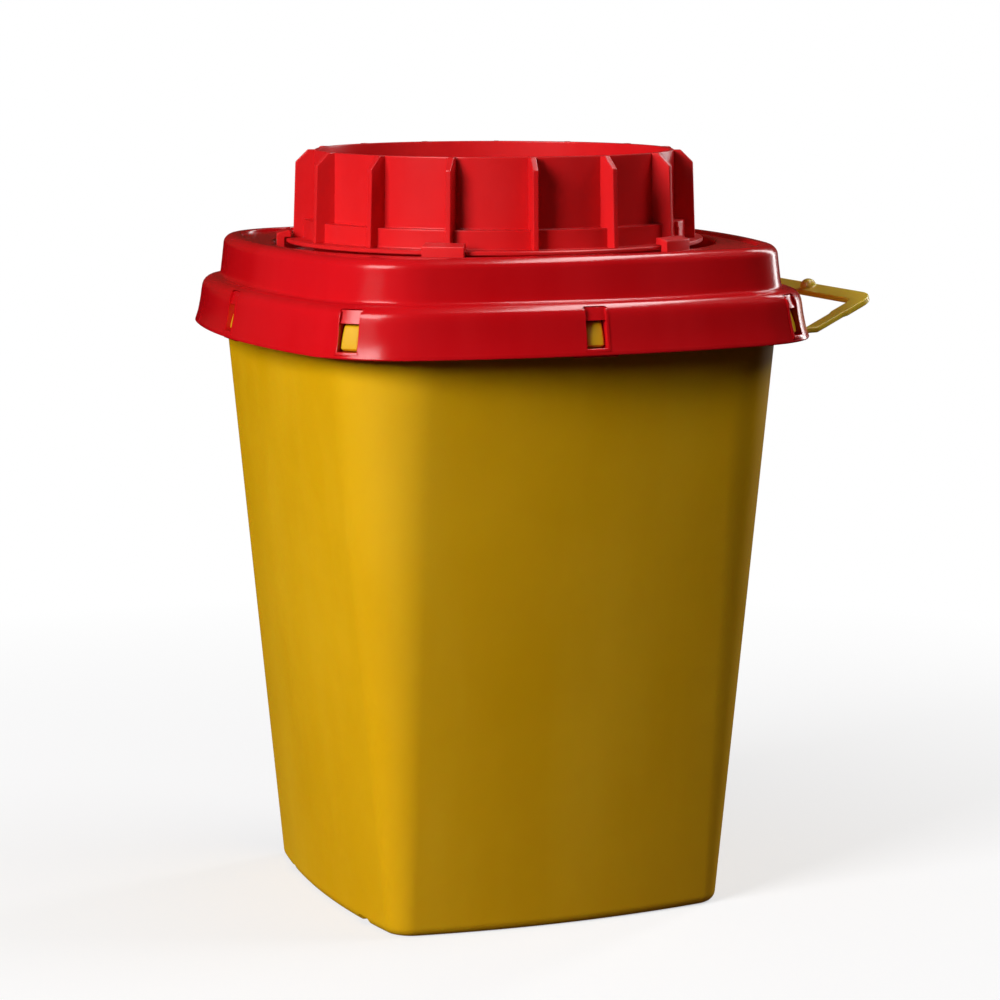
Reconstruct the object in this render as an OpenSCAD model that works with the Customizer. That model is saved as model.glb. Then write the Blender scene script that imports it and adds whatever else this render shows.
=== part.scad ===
// Sharps container: tapered square bucket, push-fit lid, turning collar and swing handle.
// Millimetres, +Z up. The origin is the centre of the foot plane and the handle is on +X.

/* [Container] */
// Half width of the container at the foot, to the middle of a side
foot_half = 52.6; // [48:0.1:56]
// Half width of the container at the height of the lid's skirt
neck_half = 66.8; // [62:0.1:70]
// Height at which the neck half width applies
neck_z = 152; // [140:1:160]
// Height of the container's rim
rim_z = 169.9; // [168.5:0.1:169.9]
// Wall thickness of the container
wall = 1.8; // [1.2:0.1:2.4]
// Height of the thick ring around the floor
foot_h = 3; // [2:0.5:5]

/* [Lid] */
// Height of the skirt's lower edge
skirt_z = 158.9; // [156:0.1:162]
// Half width of the skirt at its lower edge
skirt_half = 78; // [76:0.5:82]
// Height of the shoulder where the dome rises
shoulder_z = 172.5; // [171:0.1:175]
// Half width of the dome at the shoulder
dome_half = 71; // [69:0.5:73]
// Height of the raised edge around the lid's top
lip_z = 184.2; // [182:0.1:187]
// Radius of the round well under the collar
well_r = 61.5; // [60:0.1:63]
// Number of windows around the skirt
windows = 8; // [4:4:8]
// Turn of the windows off the middles of the sides and corners, in degrees
window_turn = -1.8; // [-3:0.1:3]

/* [Collar] */
// Overall height, to the collar's rim
top_z = 209; // [204:0.5:214]
// Outer radius of the collar's wall
collar_r = 50.3; // [48:0.1:51]
// Radius of the flange under the clips
flange_r = 58.2; // [57:0.1:59]
// Number of grip ribs
ribs = 15; // [8:1:20]
// Turn of the first grip rib from +X, in degrees
rib_turn = 19.3; // [0:0.1:24]

/* [Handle] */
// Distance of the handle's pivot from the axis
pivot_x = 70.5; // [70:0.1:71]
// Height of the handle's pivot
pivot_z = 159.7; // [159:0.1:161]
// Half the distance between the two pivot eyes
pivot_y = 45.4; // [45:0.1:46]
// Angle of the strap above horizontal as stored
strap_tilt = 16.5; // [0:0.1:25]
// Width of the strap
strap_w = 5.8; // [5:0.1:6]
// Thickness of the strap
strap_t = 1.7; // [1.4:0.1:2.2]

/* [Hidden] */
$fn = 96;

yellow = "#d6a514";
red = "#cf1420";

// Points on each side and on each corner of an outline
side_steps = 8;
corner_steps = 7;

// Container: corner radius and side bulge at the foot and at the neck
foot_corner = 7.7;
neck_corner = 24.5;
foot_bulge = 5.2;
neck_bulge = 6.8;
foot_round = 2;
foot_w = 4.6;
floor_t = 2;
notch_y = 30;
notch_w = 6;
notch_h = 1.8;

// Lid: corner radius and side bulge as shares of the half width
lid_corner = 0.39;
lid_bulge = 0.18;
lid_t = 1.5;
dome_draft = 0.9;
dome_edge = 3;
lip_w = 2;
lip_h = 0.7;
land_z = lip_z - lip_h;
well_z = 179.6;
drop_r = 42;
drop_edge = 3;
plug_depth = 5.5;
plug_gap = 0.3;
plug_t = 1.2;
bearing_r = [45.4, 47];

// Windows in the skirt, and the lugs behind them
window_w = 7;
window_low = skirt_z + 1.2;
window_high = 170.4;
frame_t = 0.7;
pocket_depth = 3.8;
panel_z = 166.9;
panel_depth = 0.4;
panel_t = 0.9;
lug_w = 5.2;
lug_z = [161.2, 166.6];
lug_inset = 0.6;
lug_nose = 1.2;
lug_top_t = 5;
window_half = 76.4;
bead_t = 1.6;
bead_h = 3.2;

// Collar
collar_t = 1.6;
flange_t = 1.1;
flange_z = 183.6;
band_r = 53.3;
band_top = 189.9;
rib_t = 1.7;
rib_tip_low = 56.1;
rib_tip_high = 55.3;
rib_chamfer = 3.4;
disc_z = 180;
disc_t = 1.6;
plate_h = 6;
plate_t = 1.6;
tab_turn = -42.3;
tab_w = 4;
tab_h = 5.4;
tab_head = 1.6;
tab_t = 0.9;

// Clips
clip_r = [58.6, 60.8];
clip_hook_r = 56.9;
clip_w = 11.6;
clip_hook_z = 184.9;
clip_edge_z = 186.1;
clip_top_z = 186.9;
clip_turns = [18, 90, 161, 235, 303];

// Handle
pin_r = 1.25;
pin_gap = 0.05;
eye_r = 2.4;
eye_w = 4.6;
ear_t = 1.3;
ear_gap = 0.5;
ear_r = 1.9;
ear_reach = 8;
crank_x = 6;
bar_x = 99.1;
bar_y = 36.5;
arm_w = 4.8;
arm_t = 1.5;
arm_length = 12;
arm_corner = 8;
stud_r = 2.4;
slot_half = 5.4;
slot_in = 69;

function side_radius(a, b) = (a * a + b * b) / (2 * b);
function corner_centre(c, d) = (2 * c + sqrt(4 * c * c - 8 * (c * c - d * d))) / 4;
function turned(x, y, q) = [x * cos(q) - y * sin(q), x * sin(q) + y * cos(q)];

// Square outline with sides bulged by b and corners of radius r, a from the centre at each side's middle
function outline(a, r, b) =
    let (big = side_radius(a, b), c = a - big, k = corner_centre(c, big - r), half = atan2(k, k - c))
    [for (q = [0:90:270])
        each concat(
            [for (i = [0:side_steps - 1])
                let (t = half * (2 * i / side_steps - 1)) turned(c + big * cos(t), big * sin(t), q)],
            [for (i = [0:corner_steps - 1])
                let (t = half + (90 - 2 * half) * i / corner_steps)
                turned(k + r * cos(t), k + r * sin(t), q)])];

// Outline of the container at height z, moved inward by inset
function mix(low, high, z) = low + (high - low) * z / neck_z;
function container_outline(z, inset = 0) =
    outline(mix(foot_half, neck_half, z) - inset, mix(foot_corner, neck_corner, z) - inset * 0.6,
            mix(foot_bulge, neck_bulge, z));

// Outline of the lid with half width a
function lid_outline(a) = outline(a, lid_corner * a, lid_bulge * a);

// Distance of an outline from the axis, along a side's middle or along a corner's diagonal
function reach(q, a, r, b) =
    let (big = side_radius(a, b))
    q % 90 == 0 ? a : sqrt(2) * corner_centre(a - big, big - r) + r;
function container_reach(q, z) =
    reach(q, mix(foot_half, neck_half, z), mix(foot_corner, neck_corner, z), mix(foot_bulge, neck_bulge, z));
function lid_reach(q, a) = reach(q, a, lid_corner * a, lid_bulge * a);

// Closed solid through rings, each [height, outline]
module loft(rings) {
    n = len(rings[0][1]);
    last = len(rings) - 1;
    points = [for (ring = rings) each [for (p = ring[1]) [p[0], p[1], ring[0]]]];
    walls = [for (k = [0:last - 1]) each [for (i = [0:n - 1])
        let (j = (i + 1) % n) each [[k * n + i, (k + 1) * n + i, (k + 1) * n + j],
                                    [k * n + i, (k + 1) * n + j, k * n + j]]]];
    bottom = [[for (i = [0:n - 1]) i]];
    top = [[for (i = [n - 1:-1:0]) last * n + i]];
    polyhedron(points = points, faces = concat(walls, bottom, top));
}

// Round plate cut off along a straight edge, on the side away from the drop opening
module half_moon(low, high) {
    translate([0, 0, low]) difference() {
        cylinder(r = drop_r, h = high - low);
        translate([drop_edge, -drop_r, -1]) cube([drop_r, 2 * drop_r, high - low + 2]);
    }
}

module tube(r_out, r_in, low, high) {
    translate([0, 0, low]) difference() {
        cylinder(r = r_out, h = high - low);
        translate([0, 0, -1]) cylinder(r = r_in, h = high - low + 2);
    }
}

// ---- Container ----

module container_shell() {
    outer = [[foot_h, container_outline(foot_h)], [rim_z, container_outline(rim_z)]];
    inner = [[foot_h - 1, container_outline(foot_h - 1, wall)],
             [rim_z + 1, container_outline(rim_z + 1, wall)]];
    color(yellow) difference() {
        loft(outer);
        loft(inner);
    }
}

module container_floor() {
    plate = container_outline(foot_h, foot_w);
    color(yellow) loft([[0, plate], [floor_t, plate]]);
}

module foot_ring() {
    color(yellow) difference() {
        loft([for (t = [0:22.5:90])
            [foot_h * (1 - cos(t)), container_outline(foot_h, foot_round * (1 - sin(t)))]]);
        translate([0, 0, -1]) loft([[0, container_outline(foot_h, foot_w)],
                                    [foot_h + 2, container_outline(foot_h, foot_w)]]);
        for (side = [-1, 1], y = [-notch_y, notch_y])
            translate([side * foot_half - 6, y - notch_w / 2, -1]) cube([12, notch_w, notch_h + 1]);
    }
}

module rim_bead() {
    low = rim_z - bead_h;
    color(yellow) difference() {
        loft([[low, container_outline(low, -bead_t)], [rim_z, container_outline(rim_z, -bead_t)]]);
        loft([[low - 1, container_outline(low - 1)], [rim_z + 1, container_outline(rim_z + 1)]]);
    }
}

// Ramp that is deepest at its foot, so that the lid's windows snap over it
module snap_lug(root, tip) {
    rise = lug_z[1] - lug_z[0];
    translate([root, lug_w / 2, lug_z[0]]) rotate([90, 0, 0]) linear_extrude(lug_w)
        polygon([[0, 0], [tip - root, 0], [tip - root, lug_nose], [lug_top_t, rise], [0, rise]]);
}

module snap_lugs() {
    color(yellow) difference() {
        for (i = [0:windows - 1]) let (q = i * 360 / windows)
            rotate([0, 0, q + window_turn])
                snap_lug(container_reach(q, lug_z[0]) - 0.6, lid_reach(q, window_half) - lug_inset);
        loft([for (z = [lug_z[0] - 1, lug_z[1] + 1]) [z, container_outline(z)]]);
    }
}

module handle_bracket() {
    inner_ear = pivot_y - eye_w / 2 - ear_gap - ear_t;
    outer_ear = pivot_y + eye_w / 2 + ear_gap;
    root_x = pivot_x - ear_reach;
    for (y = [inner_ear, outer_ear]) {
        translate([root_x, y, pivot_z - ear_r]) cube([ear_reach, ear_t, ear_r + 4]);
        translate([pivot_x, y + ear_t, pivot_z]) rotate([90, 0, 0]) cylinder(r = ear_r, h = ear_t, $fn = 48);
    }
    translate([root_x, inner_ear, pivot_z + 3]) cube([5, outer_ear + ear_t - inner_ear, 3]);
    translate([pivot_x, outer_ear + ear_t, pivot_z]) rotate([90, 0, 0])
        cylinder(r = pin_r, h = outer_ear + ear_t - inner_ear, $fn = 48);
}

module handle_brackets() {
    color(yellow) difference() {
        for (side = [0, 1]) mirror([0, side, 0]) handle_bracket();
        loft([[pivot_z - 4, container_outline(pivot_z - 4)], [rim_z, container_outline(rim_z)]]);
    }
}

// ---- Lid ----

module lid_dome() {
    top_half = dome_half - dome_draft;
    lip_outline = lid_outline(top_half - dome_edge - lip_w);
    arc = [for (t = [0:22.5:90])
        [lip_z - dome_edge * (1 - sin(t)), lid_outline(top_half - dome_edge * (1 - cos(t)))]];
    color(red) difference() {
        loft(concat([[shoulder_z - lid_t, lid_outline(dome_half)]], arc));
        loft([[shoulder_z - 2 * lid_t, lid_outline(dome_half - lid_t)],
              [land_z - lid_t, lid_outline(top_half - lid_t)]]);
        loft([[land_z, lip_outline], [lip_z + 1, lip_outline]]);
        translate([0, 0, shoulder_z]) cylinder(r = well_r, h = 20);
    }
}

module deck_ring() {
    color(red) union() {
        tube(well_r, drop_r, well_z - lid_t, well_z);
        tube(well_r, well_r - 0.6, well_z, land_z);
    }
}

module deck_panel() {
    color(red) half_moon(well_z - lid_t, well_z);
}

function skirt_profile() = [[skirt_z, skirt_half], [162, 77.1], [166, 76.4], [169.5, 76], [171.2, 75.2],
                            [172.2, 73.6], [shoulder_z, 72]];

module handle_slots(low, high) {
    for (side = [-1, 1])
        translate([slot_in, side * pivot_y - slot_half, low]) cube([20, 2 * slot_half, high - low]);
}

module lid_skirt() {
    color(red) difference() {
        loft([for (p = skirt_profile()) [p[0], lid_outline(p[1])]]);
        translate([0, 0, -lid_t]) loft([for (p = skirt_profile()) [p[0], lid_outline(p[1] - lid_t)]]);
        loft([[shoulder_z - lid_t, lid_outline(dome_half)], [shoulder_z + 1, lid_outline(dome_half)]]);
        for (i = [0:windows - 1]) let (q = i * 360 / windows) rotate([0, 0, q + window_turn])
            translate([lid_reach(q, skirt_half) - 8, -window_w / 2, window_low])
                cube([14, window_w, window_high - window_low]);
        handle_slots(skirt_z - 1, shoulder_z + 1);
    }
}

module window_pocket(face) {
    tall = window_high - window_low;
    clear_w = window_w - 2 * frame_t;
    translate([face - pocket_depth, -window_w / 2, window_low]) difference() {
        cube([pocket_depth, window_w, tall]);
        translate([-1, frame_t, frame_t]) cube([pocket_depth + 2, clear_w, tall - 2 * frame_t]);
    }
    translate([face - panel_depth - panel_t, -window_w / 2, panel_z])
        cube([panel_t, window_w, window_high - panel_z]);
}

module window_pockets() {
    color(red) for (i = [0:windows - 1]) let (q = i * 360 / windows)
        rotate([0, 0, q + window_turn]) window_pocket(lid_reach(q, window_half - 0.6));
}

module plug_wall() {
    low = rim_z - plug_depth;
    high = land_z - lid_t;
    outside = container_outline(low, wall + plug_gap);
    inside = container_outline(low, wall + plug_gap + plug_t);
    color(red) difference() {
        loft([[low, outside], [high, outside]]);
        loft([[low - 1, inside], [high + 1, inside]]);
    }
}

module bearing_ring() {
    color(red) tube(bearing_r[1], bearing_r[0], well_z, disc_z - 0.05);
}

module collar_clips() {
    half = asin(clip_w / 2 / clip_r[1]);
    color(red) for (turn = clip_turns) rotate([0, 0, turn - half]) rotate_extrude(angle = 2 * half)
        polygon([[clip_r[0], well_z], [clip_r[1], well_z], [clip_r[1], clip_edge_z],
                 [clip_hook_r + 0.8, clip_top_z], [clip_hook_r, clip_top_z], [clip_hook_r, clip_hook_z],
                 [clip_r[0], clip_hook_z]]);
}

// ---- Collar ----

module shutter_ring() {
    color(red) tube(collar_r, drop_r, disc_z, disc_z + disc_t);
}

module shutter_panel() {
    color(red) half_moon(disc_z, disc_z + disc_t);
}

module stripper_plate() {
    base_z = disc_z + disc_t;
    keyhole_y = 12;
    color(red) difference() {
        translate([-plate_t, -34, base_z]) cube([plate_t, 68, plate_h]);
        for (side = [-1, 1]) translate([-plate_t - 1, side * keyhole_y, base_z]) {
            translate([0, 0, 3.4]) rotate([0, 90, 0]) cylinder(r = 1.6, h = plate_t + 2, $fn = 32);
            translate([0, -0.6, 3.4]) cube([plate_t + 2, 1.2, plate_h]);
        }
    }
}

module collar_wall() {
    color(red) tube(collar_r, collar_r - collar_t, disc_z + disc_t, top_z);
}

module collar_flange() {
    color(red) tube(flange_r, collar_r, flange_z, flange_z + flange_t);
}

module grip_rib() {
    rotate([90, 0, 0]) translate([0, 0, -rib_t / 2]) linear_extrude(rib_t)
        polygon([[collar_r - 1, flange_z + flange_t], [rib_tip_low, flange_z + flange_t],
                 [rib_tip_high, top_z - rib_chamfer], [rib_tip_high - rib_chamfer, top_z],
                 [collar_r - 1, top_z]]);
}

module all_ribs() {
    for (i = [0:ribs - 1]) rotate([0, 0, rib_turn + i * 360 / ribs]) grip_rib();
}

module grip_ribs() {
    color(red) difference() {
        all_ribs();
        cylinder(r = collar_r, h = top_z + 1);
        cylinder(r = band_r, h = band_top);
    }
}

module base_band() {
    color(red) tube(band_r, collar_r, flange_z + flange_t, band_top);
}

module index_tab() {
    stem = tab_w / 4;
    color(red) rotate([0, 0, tab_turn]) translate([band_r, 0, flange_z + flange_t])
        rotate([90, 0, 90]) linear_extrude(tab_t) {
            translate([-stem, 0]) square([2 * stem, tab_h]);
            translate([-tab_w / 2, tab_h - tab_head]) square([tab_w, tab_head]);
        }
}

// ---- Handle ----

// Places the strap's plane: local x runs out along the strap from the crank, local z is its normal
module on_strap() {
    translate([pivot_x + crank_x, 0, pivot_z]) rotate([0, -strap_tilt, 0]) children();
}

strap_reach = (bar_x - pivot_x - crank_x) / cos(strap_tilt);

// Flat outline that reaches from the crank to the outside of the bar, with two rounded corners
module frame_outline(w) {
    x = strap_reach + w / 2;
    y = bar_y + w / 2;
    r = arm_corner + w / 2;
    hull() {
        translate([-1, -pivot_y - w / 2]) square([1, 2 * pivot_y + w]);
        for (side = [-1, 1]) translate([x - r, side * (y - r)]) circle(r = r, $fn = 64);
    }
}

// Strap of width w that runs along both arms and the bar
module strap_outline(w) {
    difference() {
        frame_outline(w);
        frame_outline(-w);
    }
}

module grip_bar() {
    color(yellow) on_strap() translate([0, 0, -strap_t / 2]) linear_extrude(strap_t) intersection() {
        strap_outline(strap_w);
        translate([arm_length, -60]) square([40, 120]);
    }
}

module side_arms() {
    color(yellow) on_strap() translate([0, 0, -arm_t / 2]) linear_extrude(arm_t) intersection() {
        strap_outline(arm_w);
        translate([0, -60]) square([arm_length, 120]);
    }
}

module pivot_eye() {
    half = eye_w / 2;
    translate([pivot_x, pivot_y + half, pivot_z]) rotate([90, 0, 0]) difference() {
        union() {
            cylinder(r = eye_r, h = eye_w, $fn = 64);
            translate([0, -arm_t / 2, 0]) cube([crank_x, arm_t, eye_w]);
        }
        translate([0, 0, -1]) cylinder(r = pin_r + pin_gap, h = eye_w + 2, $fn = 64);
    }
}

module pivot_eyes() {
    color(yellow) difference() {
        for (side = [0, 1]) mirror([0, side, 0]) pivot_eye();
        on_strap() translate([0, -60, -5]) cube([20, 120, 10]);
    }
}

module grip_stud() {
    color(yellow) on_strap() translate([strap_reach, 0, strap_t / 2]) intersection() {
        sphere(r = stud_r, $fn = 48);
        translate([-5, -5, 0]) cube([10, 10, 10]);
    }
}

container_shell();
container_floor();
foot_ring();
rim_bead();
snap_lugs();
handle_brackets();
lid_dome();
deck_ring();
deck_panel();
lid_skirt();
window_pockets();
plug_wall();
bearing_ring();
collar_clips();
shutter_ring();
shutter_panel();
stripper_plate();
collar_wall();
base_band();
collar_flange();
grip_ribs();
index_tab();
grip_bar();
side_arms();
pivot_eyes();
grip_stud();
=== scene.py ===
"""Sharps container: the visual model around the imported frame.

Profiles are written in millimetres, in the frame's own axes, and become metres when a mesh is made.
"""

import math

import bmesh
import bpy
from mathutils import Matrix, Vector
from mathutils.geometry import convex_hull_2d

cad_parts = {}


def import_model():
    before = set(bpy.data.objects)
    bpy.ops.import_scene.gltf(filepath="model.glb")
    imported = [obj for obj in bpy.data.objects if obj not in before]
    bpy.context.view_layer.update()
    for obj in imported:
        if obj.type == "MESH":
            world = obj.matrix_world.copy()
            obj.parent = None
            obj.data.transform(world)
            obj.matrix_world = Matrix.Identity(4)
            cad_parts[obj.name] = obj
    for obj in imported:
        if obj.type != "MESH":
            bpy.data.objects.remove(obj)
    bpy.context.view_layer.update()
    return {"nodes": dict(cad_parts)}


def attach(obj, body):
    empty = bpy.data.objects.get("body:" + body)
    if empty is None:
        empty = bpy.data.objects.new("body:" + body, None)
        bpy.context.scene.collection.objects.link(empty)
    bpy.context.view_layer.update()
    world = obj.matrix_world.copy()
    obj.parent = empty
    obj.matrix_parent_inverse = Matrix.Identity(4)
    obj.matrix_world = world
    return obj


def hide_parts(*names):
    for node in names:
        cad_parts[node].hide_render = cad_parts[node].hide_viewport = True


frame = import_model()

MM = 0.001
SIDE_STEPS = 30
CORNER_STEPS = 18
ROUND_STEPS = 192

# Container: (half width, corner radius, side bulge) at the foot, and what they gain up to the neck
FOOT_SHAPE = (52.6, 7.7, 5.2)
NECK_GAIN = (14.2, 16.8, 1.6)
NECK_Z = 152
WALL = 1.8
FOOT_TOP = 3
FOOT_ROUND = 2
NOTCH_Y = 30
NOTCH_DEPTH = 4.8
RIM_TOP = 169.9

# Lid, windows and clips
SKIRT_LOW = 158.9
LIP_TOP = 184.2
LAND = 183.5
DECK_TOP = 179.6
WELL_R = 61.4
WINDOWS = 8
WINDOW_TURN = -1.8
CLIP_TURNS = (18, 90, 161, 235, 303)

# Collar
TOP = 209.0
COLLAR_R = 50.3
BAND_R = 53.3
BAND_TOP = 189.9
FLANGE_R = 58.2
FLANGE_LOW = 183.6
FLANGE_TOP = 184.7
RIBS = 15
RIB_TURN = 19.3
TAB_TURN = -42.3

# Handle
PIVOT_X = 70.5
PIVOT_Y = 45.4
PIVOT_Z = 159.7
CRANK = 6
STRAP_TILT = math.radians(16.5)
STRAP_REACH = (99.1 - PIVOT_X - CRANK) / math.cos(STRAP_TILT)
STRAP_HALF = 36.5
STRAP_CORNER = 8.0


# ---- Outlines ----


def corner_centre(c, d):
    return (2 * c + math.sqrt(4 * c * c - 8 * (c * c - d * d))) / 4


def outline(half, corner, bulge):
    """Square outline with bulged sides and round corners, half from the centre at a side's middle."""
    big = (half * half + bulge * bulge) / (2 * bulge)
    c = half - big
    k = corner_centre(c, big - corner)
    turn = math.atan2(k, k - c)
    quarter = []
    for i in range(SIDE_STEPS):
        t = turn * (2 * i / SIDE_STEPS - 1)
        quarter.append((c + big * math.cos(t), big * math.sin(t)))
    for i in range(CORNER_STEPS):
        t = turn + (math.pi / 2 - 2 * turn) * i / CORNER_STEPS
        quarter.append((k + corner * math.cos(t), k + corner * math.sin(t)))
    points = []
    for q in range(4):
        cos, sin = round(math.cos(q * math.pi / 2)), round(math.sin(q * math.pi / 2))
        points += [(x * cos - y * sin, x * sin + y * cos) for x, y in quarter]
    return points


def reach(degrees, half, corner, bulge):
    """Distance of such an outline from the axis, at the middle of a side or of a corner."""
    if degrees % 90 == 0:
        return half
    big = (half * half + bulge * bulge) / (2 * bulge)
    return math.sqrt(2) * corner_centre(half - big, big - corner) + corner


def container_shape(z, inset=0.0):
    """Half width, corner radius and side bulge of the container at height z."""
    share = z / NECK_Z
    half, corner, bulge = (foot + gain * share for foot, gain in zip(FOOT_SHAPE, NECK_GAIN))
    return (half - inset, corner - inset * 0.6, bulge)


def lid_shape(half):
    return (half, 0.39 * half, 0.18 * half)


SKIRT = [(158.9, 77.5), (158.95, 77.82), (159.3, 77.95), (160, 77.75), (162, 77.15), (164, 76.75),
         (166, 76.4), (168, 76.15), (169.5, 75.9), (170.5, 75.55), (171.2, 75.05), (171.8, 74.35),
         (172.2, 73.6), (172.42, 72.8), (172.5, 72.0)]


def skirt_half(z):
    for (z0, h0), (z1, h1) in zip(SKIRT[1:], SKIRT[2:]):
        if z <= z1:
            return h0 + (h1 - h0) * max(0.0, z - z0) / (z1 - z0)
    return SKIRT[-1][1]


# ---- Mesh parts: each is (points, faces) ----


def level(points, z):
    return [(x, y, z) for x, y in points]


def loft(rings, closed=False, caps=False):
    n = len(rings[0])
    last = len(rings) - 1
    faces = []
    for k in range(len(rings) if closed else last):
        a, b = k * n, (k + 1) % len(rings) * n
        faces += [(a + i, a + (i + 1) % n, b + (i + 1) % n, b + i) for i in range(n)]
    if caps:
        faces += [tuple(range(n - 1, -1, -1)), tuple(range(last * n, last * n + n))]
    return [p for ring in rings for p in ring], faces


def lathe(profile, closed=False, steps=ROUND_STEPS):
    """Turns (radius, height) points about +Z."""
    turns = [2 * math.pi * i / steps for i in range(steps)]
    return loft([[(r * math.cos(t), r * math.sin(t), z) for t in turns] for r, z in profile], closed)


def sector(profile, half_angle, steps=10):
    """Solid with a closed (radius, height) section, swept half_angle radians to each side of +X."""
    turns = [half_angle * (2 * i / steps - 1) for i in range(steps + 1)]
    return loft([[(r * math.cos(t), r * math.sin(t), z) for r, z in profile] for t in turns], caps=True)


def slab(polygon, low, high):
    """Upright prism over a polygon."""
    return loft([level(polygon, low), level(polygon, high)], caps=True)


def box(low, high):
    (x0, y0, z0), (x1, y1, z1) = low, high
    return slab([(x0, y0), (x1, y0), (x1, y1), (x0, y1)], z0, z1)


def placed(part, matrix):
    return [tuple(matrix @ Vector(p)) for p in part[0]], part[1]


def turned(part, degrees):
    return placed(part, Matrix.Rotation(math.radians(degrees), 4, "Z"))


def merged(parts):
    points, faces = [], []
    for part in parts:
        start = len(points)
        points += part[0]
        faces += [tuple(i + start for i in face) for face in part[1]]
    return points, faces


def arc(x, y, r, start, end, steps):
    """Points on an arc, in degrees."""
    turns = [math.radians(start + (end - start) * i / steps) for i in range(steps + 1)]
    return [(x + r * math.cos(t), y + r * math.sin(t)) for t in turns]


# ---- Objects ----


def new_object(name, part):
    mesh = bpy.data.meshes.new(name)
    mesh.from_pydata([Vector(p) * MM for p in part[0]], [], part[1])
    obj = bpy.data.objects.new(name, mesh)
    bpy.context.scene.collection.objects.link(obj)
    clean(obj)
    return obj


def clean(obj):
    work = bmesh.new()
    work.from_mesh(obj.data)
    bmesh.ops.remove_doubles(work, verts=work.verts, dist=2e-6)
    bmesh.ops.dissolve_degenerate(work, edges=work.edges, dist=1e-6)
    bmesh.ops.recalc_face_normals(work, faces=work.faces)
    work.to_mesh(obj.data)
    work.free()


def apply_modifiers(obj):
    graph = bpy.context.evaluated_depsgraph_get()
    mesh = bpy.data.meshes.new_from_object(obj.evaluated_get(graph))
    obj.modifiers.clear()
    obj.data = mesh


def carve(obj, parts):
    """Cuts the parts out of obj."""
    cutter = new_object("cutter", merged(parts))
    cut = obj.modifiers.new("carve", "BOOLEAN")
    cut.object = cutter
    cut.solver = "EXACT"
    cut.use_self = True
    apply_modifiers(obj)
    bpy.data.objects.remove(cutter)
    clean(obj)


def soften(obj, width, segments=2, angle=32):
    """Rounds edges that are sharper than angle, width in millimetres."""
    bevel = obj.modifiers.new("soften", "BEVEL")
    bevel.width = width * MM
    bevel.segments = segments
    bevel.limit_method = "ANGLE"
    bevel.angle_limit = math.radians(angle)
    bevel.harden_normals = False
    apply_modifiers(obj)


def shade(obj, angle=40):
    """Smooth shading, except across edges that are sharper than angle."""
    work = bmesh.new()
    work.from_mesh(obj.data)
    for face in work.faces:
        face.smooth = True
    for edge in work.edges:
        edge.smooth = len(edge.link_faces) == 2 and edge.calc_face_angle(0) < math.radians(angle)
    work.to_mesh(obj.data)
    work.free()
    weighted = obj.modifiers.new("weighted", "WEIGHTED_NORMAL")
    weighted.keep_sharp = True
    weighted.weight = 60


def piece(name, part, material, slot, body, *nodes, cuts=(), bevel=0.0, segments=2, angle=32):
    """One piece of the object: cut, softened, painted, riding on its body."""
    obj = new_object(name, part)
    if cuts:
        carve(obj, cuts)
    if bevel:
        soften(obj, bevel, segments, angle)
    shade(obj)
    obj.data.materials.clear()
    obj.data.materials.append(material)
    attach(obj, body)
    if nodes:
        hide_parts(*nodes)
    return obj


# ---- Materials ----


class Nodes:
    """Short hand for a material's node tree."""

    def __init__(self, name):
        self.material = bpy.data.materials.new(name)
        self.material.use_nodes = True
        self.tree = self.material.node_tree
        self.shader = self.tree.nodes["Principled BSDF"]
        self.place = self.add("ShaderNodeTexCoord").outputs["Object"]

    def add(self, kind, **values):
        node = self.tree.nodes.new(kind)
        for key, value in values.items():
            setattr(node, key, value)
        return node

    def link(self, source, target):
        self.tree.links.new(source, target)

    def set(self, **values):
        for key, value in values.items():
            self.shader.inputs[key.replace("_", " ")].default_value = value

    def noise(self, scale, detail=3.0, roughness=0.5, stretch=None):
        """Noise over the object, scale in waves per metre, stretched along an axis if asked."""
        node = self.add("ShaderNodeTexNoise")
        node.inputs["Scale"].default_value = scale
        node.inputs["Detail"].default_value = detail
        node.inputs["Roughness"].default_value = roughness
        source = self.place
        if stretch:
            mapping = self.add("ShaderNodeMapping")
            mapping.inputs["Scale"].default_value = stretch
            self.link(source, mapping.inputs["Vector"])
            source = mapping.outputs["Vector"]
        self.link(source, node.inputs["Vector"])
        return node.outputs["Fac"]

    def span(self, value, low, high, out_low, out_high):
        node = self.add("ShaderNodeMapRange")
        limits = {"From Min": low, "From Max": high, "To Min": out_low, "To Max": out_high}
        for key, number in limits.items():
            node.inputs[key].default_value = number
        self.link(value, node.inputs["Value"])
        return node.outputs["Result"]

    def combine(self, operation, a, b):
        node = self.add("ShaderNodeMath", operation=operation)
        for socket, value in zip(node.inputs, (a, b)):
            if isinstance(value, (int, float)):
                socket.default_value = value
            else:
                self.link(value, socket)
        return node.outputs["Value"]

    def mix(self, factor, a, b):
        """Colour between a and b, each a colour or a socket."""
        node = self.add("ShaderNodeMix", data_type="RGBA")
        sockets = {s.identifier: s for s in node.inputs}
        self.link(factor, sockets["Factor_Float"])
        for key, value in (("A_Color", a), ("B_Color", b)):
            if isinstance(value, tuple):
                sockets[key].default_value = (*value, 1)
            else:
                self.link(value, sockets[key])
        return {s.identifier: s for s in node.outputs}["Result_Color"]

    def bump(self, height, distance, strength=1.0, below=None):
        node = self.add("ShaderNodeBump")
        node.inputs["Distance"].default_value = distance
        node.inputs["Strength"].default_value = strength
        self.link(height, node.inputs["Height"])
        if below:
            self.link(below, node.inputs["Normal"])
        return node.outputs["Normal"]

    def edges(self, low, high):
        """0 on flats and 1 along worn convex edges, broken up by noise."""
        point = self.add("ShaderNodeNewGeometry").outputs["Pointiness"]
        worn = self.span(point, low, high, 0, 1)
        return self.combine("MULTIPLY", worn, self.span(self.noise(220, 4), 0.4, 0.62, 0.1, 1))


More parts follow.
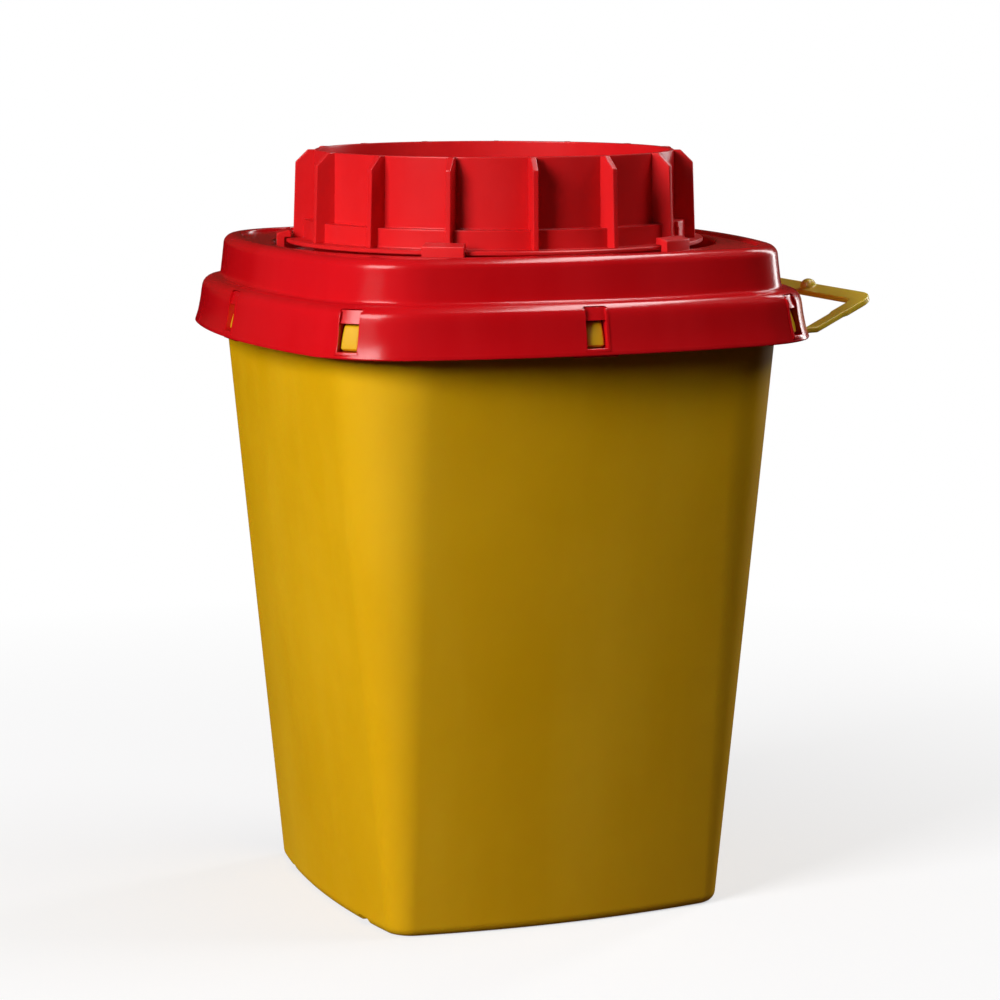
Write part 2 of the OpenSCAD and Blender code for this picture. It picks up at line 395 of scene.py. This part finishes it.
def moulded_plastic(name, deep, main, pale, rough, grain, glow, tint):
    """Moulded polypropylene: cloudy pigment, flow lines, fine skin, scuffs and pale worn edges.

    rough is (low, high) roughness, grain the depth of the skin in metres, glow the subsurface weight
    and tint how far light goes into each colour.
    """
    n = Nodes(name)
    cloud = n.span(n.noise(16, 3), 0.3, 0.7, 0, 1)
    flow = n.span(n.noise(30, 4, 0.6, stretch=(1, 1, 0.18)), 0.42, 0.66, 0, 0.35)
    colour = n.mix(cloud, deep, main)
    colour = n.mix(flow, colour, pale)
    specks = n.span(n.noise(900, 2), 0.70, 0.78, 0, 0.12)
    colour = n.mix(specks, colour, pale)
    colour = n.mix(n.combine("MULTIPLY", n.edges(0.54, 0.62), 0.2), colour, pale)
    n.link(colour, n.shader.inputs["Base Color"])
    smear = n.span(n.noise(45, 5, 0.65), 0.35, 0.7, rough[0], rough[1])
    scuffs = n.span(n.noise(260, 6, 0.7, stretch=(1, 1, 0.12)), 0.6, 0.75, 0, 0.1)
    n.link(n.combine("ADD", smear, scuffs), n.shader.inputs["Roughness"])
    ripple = n.bump(n.noise(55, 2), 0.0004, 0.25)
    skin = n.bump(n.noise(1500, 3, 0.6), grain, 0.6, ripple)
    n.link(skin, n.shader.inputs["Normal"])
    n.set(IOR=1.49, Subsurface_Weight=glow, Subsurface_Radius=tint, Subsurface_Scale=0.004)
    return n.material


RED_LID = moulded_plastic(
    "red_gloss", (0.51, 0.002, 0.005), (0.58, 0.004, 0.009), (0.66, 0.012, 0.018),
    (0.15, 0.22), 0.000015, 0.10, (1.0, 0.10, 0.05))
RED_COLLAR = moulded_plastic(
    "red_satin", (0.57, 0.006, 0.009), (0.63, 0.011, 0.014), (0.71, 0.024, 0.026),
    (0.30, 0.42), 0.00003, 0.12, (1.0, 0.10, 0.05))
YELLOW = moulded_plastic(
    "yellow_satin", (0.64, 0.345, 0.001), (0.70, 0.39, 0.004), (0.75, 0.455, 0.016),
    (0.44, 0.56), 0.00004, 0.15, (1.0, 0.5, 0.05))
# The handle is its own paler, clearer yellow plastic. Its base colours are also raised as painted
# light, so the handle reads as more strongly lit than the body.
HANDLE = moulded_plastic(
    "yellow_clear_painted_light", (0.74, 0.52, 0.030), (0.80, 0.58, 0.045), (0.86, 0.66, 0.10),
    (0.3, 0.42), 0.00003, 0.3, (1.0, 0.7, 0.2))


# ---- Container ----


def container():
    def ring(z, inset=0.0, at=None):
        return level(outline(*container_shape(z if at is None else at, inset)), z)

    foot = [ring(FOOT_TOP * (1 - math.cos(t)), FOOT_ROUND * (1 - math.sin(t)), FOOT_TOP)
            for t in (math.radians(a) for a in range(0, 91, 10))]
    outside = [ring(z) for z in (5, 20, 50, 80, 110, 135, 152, 162, 165.9)]
    bead = [ring(z, inset) for z, inset in (
        (166.3, -0.35), (166.6, -1.1), (166.9, -1.5), (167.3, -1.6), (169.2, -1.6), (169.7, -1.35),
        (RIM_TOP, -0.9), (RIM_TOP, 0.9), (169.7, 1.5), (169.2, WALL))]
    inside = [ring(z, WALL) for z in (150, 110, 70, 30, 8)]
    inside += [ring(z, inset) for z, inset in ((4, 2.6), (2.6, 4.2), (2.2, 7))]
    floor = [ring(2.2, 30), ring(2.2, 51.5)]
    under = [ring(z, inset, FOOT_TOP) for z, inset in (
        (0, 51.5), (0, 50), (0.5, 49.6), (0.5, 46.4), (0, 46),
        (0, 8.2), (0.5, 7.8), (0.5, 5.2), (0, 4.8), (0, 3))]
    n = len(foot[0])
    points, faces = loft(under + foot + outside + bead + inside + floor)
    faces += [tuple(range(n)), tuple(range(len(points) - 1, len(points) - n - 1, -1))]
    notches = []
    for side in (-1, 1):
        for y in (-NOTCH_Y, NOTCH_Y):
            middle = side * FOOT_SHAPE[0]
            shape = [(y - 3, -1), (y + 3, -1)]
            shape += arc(y + 2.2, 1.0, 0.8, 0, 90, 4) + arc(y - 2.2, 1.0, 0.8, 90, 180, 4)
            ends = (middle - NOTCH_DEPTH, middle + NOTCH_DEPTH)
            notches.append(loft([[(x, a, b) for a, b in shape] for x in ends], caps=True))
    piece("container_wall", (points, faces), YELLOW, "yellow_polypropylene", "container",
          "container_shell", "container_floor", "foot_ring", "rim_bead", cuts=notches)


def snap_lugs():
    """Wedges that are wide and deep at the foot and run out towards the rim."""
    def lug(q):
        root = reach(q, *container_shape(161)) - 0.5
        tip = reach(q, *lid_shape(76.4)) - 0.2
        rings = []
        for t in (0, 0.03, 0.08, 0.2, 0.4, 0.6, 0.8, 0.94, 1):
            z = 161.0 + 6.6 * t
            rounding = 0.5 * max(0.0, 1 - t / 0.08) + 0.5 * max(0.0, (t - 0.94) / 0.06)
            w = 2.75 - 0.25 * t - rounding * 0.6
            x = tip - 2.0 * t ** 1.6 - rounding
            c = min(0.9, w * 0.6)
            front = arc(x - c, -w + c, c, -90, 0, 4) + arc(x - c, w - c, c, 0, 90, 4)
            rings.append(level([(root - 1, -w)] + front + [(root - 1, w)], z))
        return loft(rings, caps=True)

    lugs = merged([turned(lug(q), q + WINDOW_TURN) for q in range(0, 360, 360 // WINDOWS)])
    piece("lugs", lugs, YELLOW, "yellow_polypropylene", "container", "snap_lugs")


# ---- Lid ----


def lid_shell():
    def ring(z, half):
        return level(outline(*lid_shape(half)), z)

    base = outline(*lid_shape(70))
    turns = [math.atan2(y, x) for x, y in base]

    def round_ring(r, z):
        return [(r * math.cos(t), r * math.sin(t), z) for t in turns]

    skirt = [ring(z, half) for z, half in SKIRT]
    fillet = [ring(z, half) for z, half in (
        (172.6, 71.6), (172.85, 71.25), (173.3, 71.05), (174.2, 70.93), (177.5, 70.55))]
    edge = [ring(z, half) for half, z in arc(67.15, 181.2, 3.0, 0, 90, 9)]
    lip = [ring(z, half) for z, half in (
        (LIP_TOP, 66.0), (184.12, 65.7), (183.9, 65.5), (183.3, 65.4), (183.05, 65.3),
        (183.0, 65.1), (183.05, 64.9), (183.3, 64.75), (183.45, 64.6), (LAND, 64.3))]
    well = [round_ring(r, z) for r, z in (
        (62.6, LAND), (62.3, 183.4), (62.05, 183.15), (61.95, 182.8), (61.8, 181.0),
        (WELL_R, DECK_TOP - 1.4))]
    under = [round_ring(62.6, DECK_TOP - 1.4), round_ring(62.9, 180.6)]
    ceiling = [ring(z, half) for z, half in (
        (180.9, 66.0), (179.6, 68.2), (178.6, 69.0), (173.0, 69.4), (171.2, 69.8),
        (170.95, 70.4), (170.9, 71.6), (170.4, 73.1), (169.4, 74.2), (168, 74.65),
        (166, 74.9), (162, 75.65), (159.3, 76.3), (158.95, 76.45), (SKIRT_LOW, 76.8))]
    cuts = []
    for q in range(0, 360, 360 // WINDOWS):
        face = reach(q, *lid_shape(76))
        shape = [(-3.5, 160.1), (3.5, 160.1)]
        shape += arc(2.6, 170.7, 0.9, 0, 90, 4) + arc(-2.6, 170.7, 0.9, 90, 180, 4)
        cutter = loft([[(x, y, z) for y, z in shape] for x in (face - 3.6, face + 6)], caps=True)
        cuts.append(turned(cutter, q + WINDOW_TURN))
    for side in (-1, 1):
        shape = [(69, -5.4), (90, -5.4), (90, 5.4), (69, 5.4)]
        cuts.append(slab([(x, y + side * PIVOT_Y) for x, y in shape], 150, 173.6))
    piece("lid_shell", loft(skirt + fillet + edge + lip + well + under + ceiling, closed=True), RED_LID,
          "red_polypropylene", "container", "lid_dome", "lid_skirt", cuts=cuts)


def window_pockets():
    """Frames and closed panels of the windows, and the tongues under the windows of the sides."""
    def pocket(q):
        def out(y, z, proud=0.0):
            bend = 30 if q % 90 else 210
            return reach(q, *lid_shape(skirt_half(z))) - y * y / (2 * bend) + proud

        parts = []
        heights = [159.9, 161, 162.5, 164, 166, 168, 169.5, 170.3, 171.0]
        for side in (-1, 1):
            near, far = side * 2.8, side * 3.72
            rings = []
            for z in heights:
                back = out(0, 166) - 4.0
                rings.append([(back, near, z), (out(near, z, 0.10), near, z),
                              (out(far, z, 0.10), far, z), (back, far, z)])
            parts.append(loft(rings, caps=True))
        for low, high, proud, depth in ((159.9, 160.75, 0.12, 3.6), (167.9, 171.4, -0.35, 1.1)):
            rings = []
            for y in (-3.2, -1.6, 0, 1.6, 3.2):
                front = [(out(y, z, proud), y, z) for z in (low, high)]
                rings.append(front + [(x - depth, y, z) for x, _, z in reversed(front)])
            parts.append(loft(rings, caps=True))
        return merged(parts)

    pockets = merged([turned(pocket(q), q + WINDOW_TURN) for q in range(0, 360, 360 // WINDOWS)])
    piece("pockets", pockets, RED_LID, "red_polypropylene", "container", "window_pockets",
          bevel=0.16, segments=2)

    def tongue(q):
        x = reach(q, *lid_shape(77.2))
        return box((x - 1.7, -6.1, 158.35), (x - 0.25, 6.1, 159.6))

    tongues = merged([turned(tongue(q), q + WINDOW_TURN) for q in range(0, 360, 90)])
    piece("tongues", tongues, RED_LID, "red_polypropylene", "container", bevel=0.3, segments=3)


def half_moon(r, low, high):
    """Cutter for the opening that the waste drops through."""
    polygon = [(x, y) for x, y in arc(0, 0, r, -90, 90, 48) if x > 3.0]
    edge = math.sqrt(r * r - 9)
    return slab([(3, -edge)] + polygon + [(3, edge)], low, high)


def lid_deck():
    profile = [(r, DECK_TOP - drop) for r, drop in (
        (0.01, 0), (40, 0), (61.0, 0), (61.3, 0.3), (61.3, 1.2), (61.0, 1.5), (40, 1.5), (0.01, 1.5))]
    piece("deck", lathe(profile, closed=True), RED_LID, "red_polypropylene", "container",
          "deck_ring", "deck_panel", cuts=[half_moon(42, 170, 190)], bevel=0.3)


def collar_clips():
    section = [(58.7, 179.6), (60.8, 179.6), (60.8, 185.6), (60.65, 186.0), (60.2, 186.25),
               (57.9, 186.85), (57.2, 186.85), (56.95, 186.6), (56.9, 185.0), (57.1, 184.9),
               (58.5, 184.9), (58.7, 184.7)]
    clip = sector(section, 5.8 / 60.8)
    piece("clips", merged([turned(clip, turn) for turn in CLIP_TURNS]), RED_COLLAR,
          "red_polypropylene", "container", "collar_clips", bevel=0.25, segments=3, angle=50)


# ---- Collar ----


def collar():
    inner = COLLAR_R - 1.6
    low = 181.6
    profile = [
        (inner, low), (COLLAR_R, low), (COLLAR_R, FLANGE_LOW),
        (FLANGE_R - 0.2, FLANGE_LOW), (FLANGE_R, FLANGE_LOW + 0.2),
        (FLANGE_R, FLANGE_TOP - 0.25), (FLANGE_R - 0.25, FLANGE_TOP),
        (BAND_R + 0.5, FLANGE_TOP), (BAND_R + 0.15, FLANGE_TOP + 0.15), (BAND_R, FLANGE_TOP + 0.5),
        (BAND_R - 0.05, BAND_TOP - 0.35), (BAND_R - 0.15, BAND_TOP - 0.1), (BAND_R - 0.4, BAND_TOP),
        (COLLAR_R + 0.4, BAND_TOP), (COLLAR_R + 0.1, BAND_TOP + 0.12), (COLLAR_R, BAND_TOP + 0.45),
        (COLLAR_R - 0.03, 197.9), (COLLAR_R - 0.12, 198.2), (COLLAR_R - 0.2, TOP - 0.45),
        (COLLAR_R - 0.35, TOP - 0.12), (COLLAR_R - 0.65, TOP),
        (inner + 0.5, TOP), (inner + 0.15, TOP - 0.12), (inner, TOP - 0.45), (inner, 195)]
    piece("collar_shell", lathe(profile, closed=True), RED_COLLAR, "red_polypropylene", "collar",
          "collar_wall", "base_band", "collar_flange")


def grip_ribs():
    """Fins that stand on the flange, thinner at the tip and chamfered at the top."""
    def rib():
        root = COLLAR_R - 0.6
        shape = [(root, FLANGE_TOP - 0.1), (56.15, FLANGE_TOP - 0.1), (55.35, TOP - 3.4), (51.9, TOP),
                 (root, TOP - 0.02)]

        def half(r):
            return 0.95 - 0.03 * (r - root)

        return loft([[(r, side * half(r), z) for r, z in shape] for side in (-1, 1)], caps=True)

    piece("ribs", merged([turned(rib(), RIB_TURN + i * 360 / RIBS) for i in range(RIBS)]), RED_COLLAR,
          "red_polypropylene", "collar", "grip_ribs", bevel=0.28, segments=3)


def index_tab():
    stem = box((BAND_R - 0.1, -1.0, FLANGE_TOP - 0.05), (BAND_R + 0.9, 1.0, FLANGE_TOP + 4))
    head = box((BAND_R - 0.1, -2.0, FLANGE_TOP + 3.8), (BAND_R + 0.9, 2.0, FLANGE_TOP + 5.4))
    piece("tab", turned(merged([stem, head]), TAB_TURN), RED_COLLAR, "red_polypropylene", "collar",
          "index_tab", bevel=0.2, segments=2)


# ---- Handle ----


def strap_path():
    """Centre line of the strap in its own plane: x runs out from the crank, y across."""
    r = STRAP_CORNER
    hull = [(0, -PIVOT_Y), (0, PIVOT_Y)]
    for side in (-1, 1):
        hull += arc(STRAP_REACH - r, side * (STRAP_HALF - r), r, 0, 360, 96)
    order = [hull[i] for i in convex_hull_2d(hull)]
    start = order.index((0, -PIVOT_Y))
    order = order[start:] + order[:start]
    if order[1][0] == 0:
        order = [order[0]] + order[:0:-1]
    return order


def resampled(path, step):
    """Extra points on the long straight stretches."""
    out = [path[0]]
    for a, b in zip(path, path[1:]):
        count = max(1, round((b - a).length / step))
        out += [a.lerp(b, i / count) for i in range(1, count + 1)]
    return out


def strap():
    outward = Vector((math.cos(STRAP_TILT), 0, math.sin(STRAP_TILT)))
    upward = Vector((-math.sin(STRAP_TILT), 0, math.cos(STRAP_TILT)))
    root = Vector((PIVOT_X + CRANK, 0, PIVOT_Z))
    path = resampled([root + outward * x + Vector((0, y, 0)) for x, y in strap_path()], 1.5)
    start, end = (Vector((PIVOT_X + 1.5, y, PIVOT_Z)) for y in (-PIVOT_Y, PIVOT_Y))
    path = [start] + path + [end]
    rings = []
    for i, p in enumerate(path):
        ahead = (path[min(i + 1, len(path) - 1)] - p).normalized() if i < len(path) - 1 else Vector()
        behind = (p - path[max(i - 1, 0)]).normalized() if i else Vector()
        along = (ahead + behind).normalized()
        up = Vector((0, 0, 1)) if p.x < PIVOT_X + 5.9 else upward
        across = along.cross(up).normalized()
        up = across.cross(along).normalized()
        x = (p - root).dot(outward)
        full = min(1.0, max(0.0, (x - 11.7) / 0.6))
        w = (4.8 + 1.0 * full) / 2
        t = (1.5 + 0.2 * full) / 2
        c = 0.38
        section = (arc(w - c, t - c, c, 0, 90, 3) + arc(-w + c, t - c, c, 90, 180, 3) +
                   arc(-w + c, -t + c, c, 180, 270, 3) + arc(w - c, -t + c, c, 270, 360, 3))
        rings.append([tuple(p + across * a + up * b) for a, b in section])
    band = loft(rings, caps=True)
    eyes = []
    for side in (-1, 1):
        low, high, bore, r = -2.3, 2.3, 1.3, 2.4
        profile = [(bore, low), (r - 0.3, low), (r, low + 0.3), (r, high - 0.3), (r - 0.3, high),
                   (bore, high)]
        centre = Matrix.Translation((PIVOT_X, side * PIVOT_Y, PIVOT_Z))
        spin = centre @ Matrix.Rotation(math.pi / 2, 4, "X")
        eyes.append(placed(lathe(profile, closed=True, steps=48), spin))
    piece("strap", band, HANDLE, "handle_polypropylene", "handle", "grip_bar", "side_arms")
    piece("eyes", merged(eyes), HANDLE, "handle_polypropylene", "handle", "pivot_eyes")
    dome = [(0.01, 2.4)] + arc(0, 0, 2.4, 84, 4, 12)
    dome += [(2.55, 0.05), (2.75, -0.1), (2.0, -0.4), (0.01, -0.4)]
    centre = root + outward * STRAP_REACH + upward * 0.85
    spin = Matrix.Translation(centre) @ Matrix.Rotation(-STRAP_TILT, 4, "Y")
    piece("stud", placed(lathe(dome, closed=True, steps=48), spin), HANDLE, "handle_polypropylene",
          "handle", "grip_stud")


# ---- CAD nodes that stay ----


def carried_nodes():
    """CAD solids whose shape is right: welded, rounded at the edges and painted."""
    finish = {
        "handle_brackets": (YELLOW, 0.25), "plug_wall": (RED_LID, 0.2), "bearing_ring": (RED_LID, 0.1),
        "shutter_ring": (RED_COLLAR, 0.2), "shutter_panel": (RED_COLLAR, 0.2),
        "stripper_plate": (RED_COLLAR, 0.25)}
    for name, (material, width) in finish.items():
        node = frame["nodes"][name]
        node.data.materials.clear()
        node.data.materials.append(material)
        weld = node.modifiers.new("weld", "WELD")
        weld.merge_threshold = 0.00001
        bevel = node.modifiers.new("bevel", "BEVEL")
        bevel.width = width * MM
        bevel.segments = 2
        bevel.limit_method = "ANGLE"
        bevel.angle_limit = math.radians(35)


container()
snap_lugs()
lid_shell()
window_pockets()
lid_deck()
collar_clips()
collar()
grip_ribs()
index_tab()
strap()
carried_nodes()


# ---- Stage, light and camera ----


def floor():
    n = Nodes("floor_paper")
    tree = n.tree
    out = next(node for node in tree.nodes if node.type == "OUTPUT_MATERIAL")
    seen = n.add("ShaderNodeLightPath").outputs["Is Camera Ray"]
    n.link(n.mix(seen, (0.25, 0.17, 0.10), (0.93, 0.95, 1.0)), n.shader.inputs["Base Color"])
    n.shader.inputs["Roughness"].default_value = 0.9
    n.shader.inputs["Specular IOR Level"].default_value = 0.0
    glow = n.add("ShaderNodeEmission")
    n.link(seen, glow.inputs["Strength"])
    away = n.add("ShaderNodeVectorMath", operation="LENGTH")
    n.link(n.place, away.inputs[0])
    far = n.span(away.outputs["Value"], 0.06, 0.45, 0.6, 1.0)
    blend = n.add("ShaderNodeMixShader")
    n.link(far, blend.inputs["Fac"])
    n.link(n.shader.outputs["BSDF"], blend.inputs[1])
    n.link(glow.outputs["Emission"], blend.inputs[2])
    n.link(blend.outputs["Shader"], out.inputs["Surface"])
    side = 30000
    obj = new_object("floor", box((-side, -side, -10), (side, side, -0.01)))
    obj.data.materials.append(n.material)


def world():
    scene_world = bpy.data.worlds.new("studio")
    bpy.context.scene.world = scene_world
    scene_world.use_nodes = True
    tree = scene_world.node_tree
    tree.nodes.clear()
    out = tree.nodes.new("ShaderNodeOutputWorld")
    mix = tree.nodes.new("ShaderNodeMixShader")
    path = tree.nodes.new("ShaderNodeLightPath")
    dim = tree.nodes.new("ShaderNodeBackground")
    dim.inputs["Color"].default_value = (1.0, 0.6, 0.4, 1)
    dim.inputs["Strength"].default_value = 0.035
    white = tree.nodes.new("ShaderNodeBackground")
    white.inputs["Color"].default_value = (1, 1, 1, 1)
    tree.links.new(path.outputs["Is Camera Ray"], mix.inputs["Fac"])
    tree.links.new(dim.outputs["Background"], mix.inputs[1])
    tree.links.new(white.outputs["Background"], mix.inputs[2])
    tree.links.new(mix.outputs["Shader"], out.inputs["Surface"])


def softbox(name, place, aim, size, power, colour=(1, 1, 1), diffuse=True, glossy=True):
    light = bpy.data.lights.new(name, "AREA")
    light.shape = "RECTANGLE"
    light.size, light.size_y = size
    light.energy = power
    light.color = colour
    obj = bpy.data.objects.new(name, light)
    obj.location = place
    obj.rotation_euler = (Vector(aim) - Vector(place)).to_track_quat("-Z", "Y").to_euler()
    obj.visible_diffuse = diffuse
    obj.visible_glossy = glossy
    bpy.context.scene.collection.objects.link(obj)


def camera():
    lens = bpy.data.cameras.new("camera")
    lens.sensor_width = 36
    lens.lens = 116.7
    lens.shift_x = 0.0060
    lens.shift_y = 0.0038
    lens.clip_start = 0.05
    lens.clip_end = 100
    obj = bpy.data.objects.new("camera", lens)
    obj.location = (-0.3407, -0.8411, 0.2501)
    obj.rotation_euler = (math.radians(90 - 8.849), 0, math.radians(-22.047))
    bpy.context.scene.collection.objects.link(obj)
    bpy.context.scene.camera = obj


floor()
world()
softbox("key", (-1.00, -0.45, 0.58), (0, 0, 0.12), (0.5, 0.5), 17.5, (1.0, 0.98, 0.95), glossy=False)
softbox("key_sheen", (-0.82, -0.42, 0.80), (0, 0, 0.12), (0.55, 0.45), 6.5, diffuse=False)
softbox("fill", (0.95, -0.25, 1.00), (0, 0, 0.14), (0.6, 0.6), 7.5, (1.0, 0.97, 0.92), glossy=False)
softbox("top", (0.37, -0.10, 1.05), (0, 0, 0.17), (0.9, 0.22), 6.0, diffuse=False)
softbox("strip", (0.75, 0.35, 0.45), (0, 0, 0.15), (0.12, 0.7), 2.0)
camera()
bpy.context.scene.view_settings.view_transform = "Standard"
